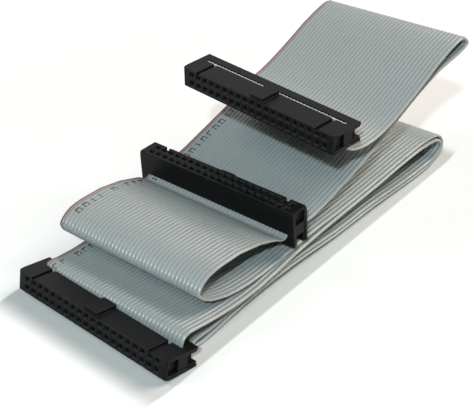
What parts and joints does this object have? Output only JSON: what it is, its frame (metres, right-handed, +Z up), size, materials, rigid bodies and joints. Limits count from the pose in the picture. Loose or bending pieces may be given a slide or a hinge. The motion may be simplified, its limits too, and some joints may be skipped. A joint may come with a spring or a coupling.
{
  "type": "ribbon cable",
  "caption": "Flat grey ribbon cable with a red marked edge and black press-on sockets at both ends and along it, lying folded back on itself.",
  "frame": {"origin": "on the surface that the folded cable lies on, under the middle of its footprint", "axes": "+X along the first socket from the red edge, +Y along the ribbon's runs away from the first socket, +Z up"},
  "size_m": [0.063, 0.1308, 0.0475],
  "materials": {
    "ribbon": "smooth light grey vinyl, ribbed",
    "socket_black": "fine satin, black",
    "cover_black": "fine satin, black",
    "contact_metal": "plated strip"
  },
  "bodies": {
    "root": {"ribbon": "ribbon", "first_body": "socket_black", "first_cover": "cover_black", "first_contacts": "contact_metal", "middle_body": "socket_black", "middle_cover": "cover_black", "middle_contacts": "contact_metal", "last_body": "socket_black", "last_cover": "cover_black", "last_contacts": "contact_metal"}
  },
  "joints": []
}
